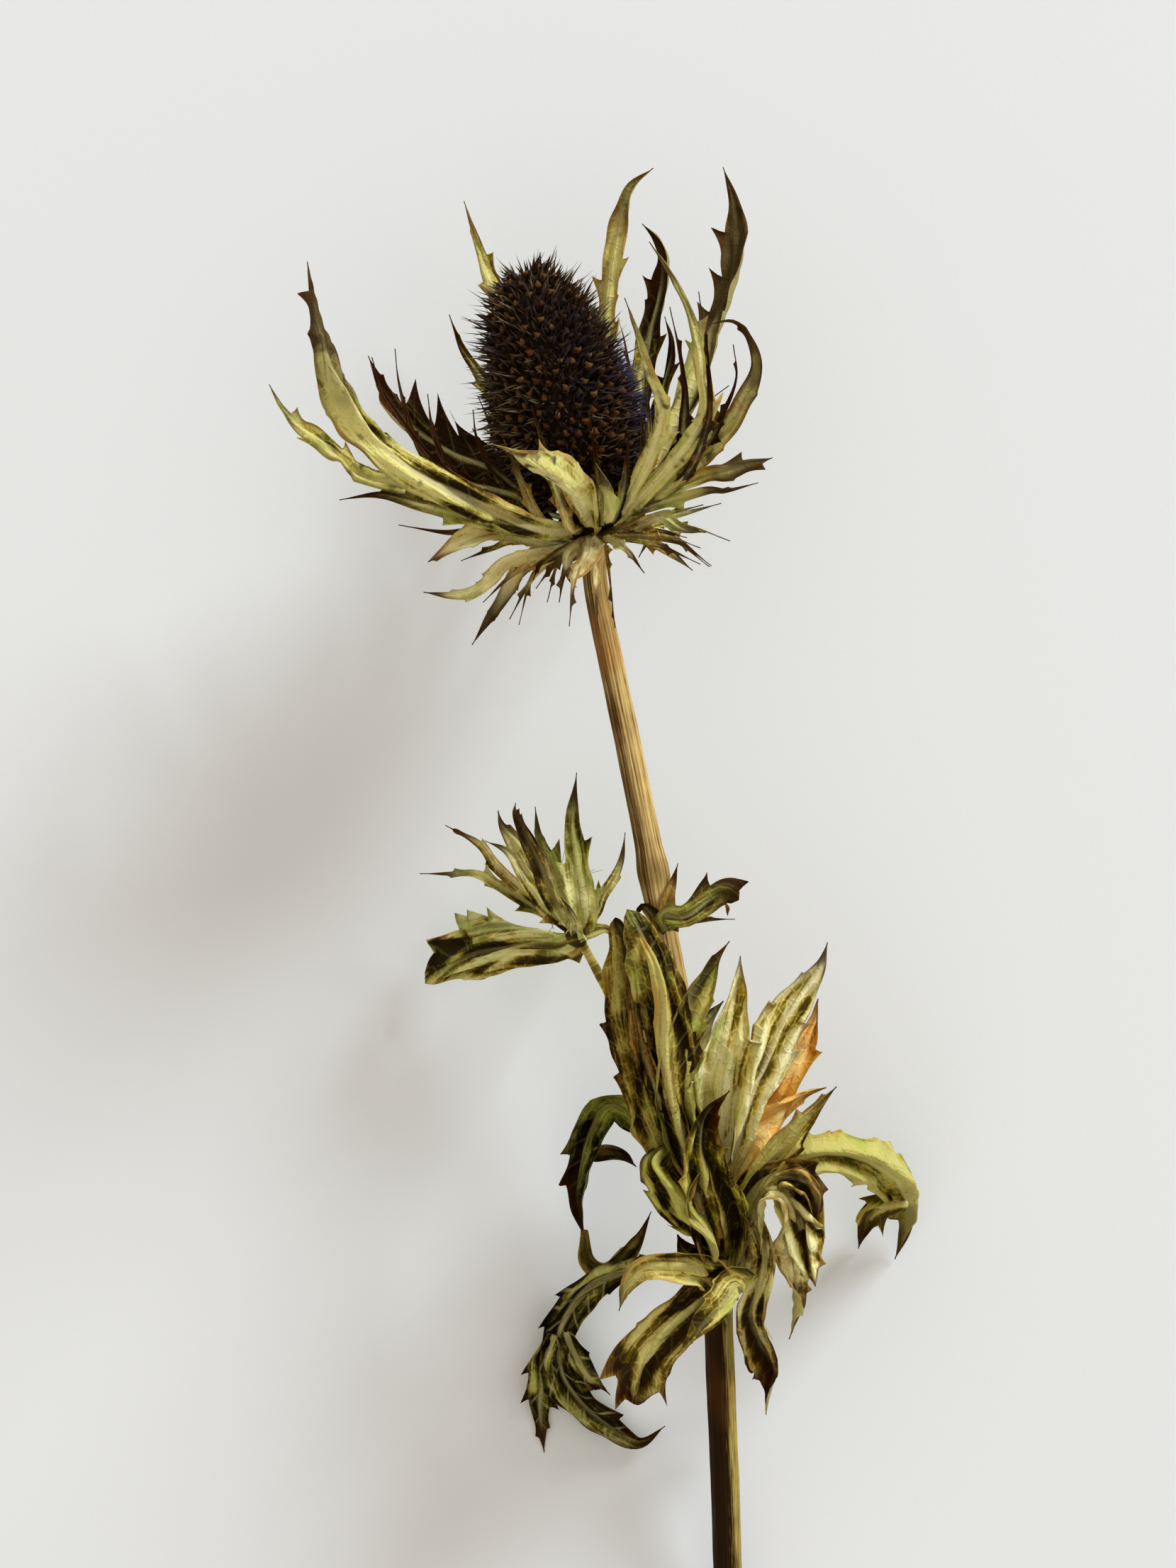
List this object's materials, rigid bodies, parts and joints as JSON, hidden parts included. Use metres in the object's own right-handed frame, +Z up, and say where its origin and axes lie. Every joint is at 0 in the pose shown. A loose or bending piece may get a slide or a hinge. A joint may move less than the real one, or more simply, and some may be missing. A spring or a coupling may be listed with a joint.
{
  "type": "dried thistle flower head",
  "caption": "Dried spiny flower head as picked: a cone of florets in a ruff of toothed bracts, on a ribbed stem with a side shoot and crumpled spiny leaves, lying on its side.",
  "frame": {"origin": "on the surface that the part lies on, under the middle of its overall box", "axes": "+Z up from the surface, +Y along the stem towards the flower head, +X to the right seen from above"},
  "size_m": [0.0881, 0.203, 0.0602],
  "materials": {
    "stem": "dry ribbed stalk, dark brown below and straw above, matt",
    "cone": "dry dark florets with tan and violet spine points, rough",
    "ruff": "dry olive and straw leaf skin with a faint satin, brown at the tips",
    "collar": "dry olive leaf skin, brown spiny points",
    "strap": "dry green leaf skin, matt",
    "leaf_front": "dry crumpled leaf, olive brown, matt",
    "leaf_pale": "dry pale green leaf, yellow along the veins, faint satin",
    "leaf_orange": "dry leaf turned orange brown, matt",
    "leaf_right": "dry yellow green leaf, brown spiny points",
    "leaf_hanging": "dry olive leaf, matt",
    "leaf_folded": "dry folded leaf, yellow green, matt",
    "leaf_lower_left": "dry curled leaf, olive brown, matt",
    "leaf_dark": "dry leaf gone dark brown, matt",
    "leaf_lying": "dry dark green and brown leaf, matt",
    "shoot": "dry grey green spiny leaves on a thin stalk"
  },
  "bodies": {
    "root": {"stem": "stem", "flower_cone": "cone", "ruff_of_bracts": "ruff", "collar_of_bracts": "collar", "strap_leaf": "strap", "leaf_front": "leaf_front", "leaf_pale_right": "leaf_pale", "leaf_orange": "leaf_orange", "leaf_right": "leaf_right", "leaf_hanging": "leaf_hanging", "leaf_folded": "leaf_folded", "leaf_lower_left": "leaf_lower_left", "leaf_dark_back": "leaf_dark", "leaf_lying_left": "leaf_lying", "side_shoot": "shoot"}
  },
  "joints": []
}
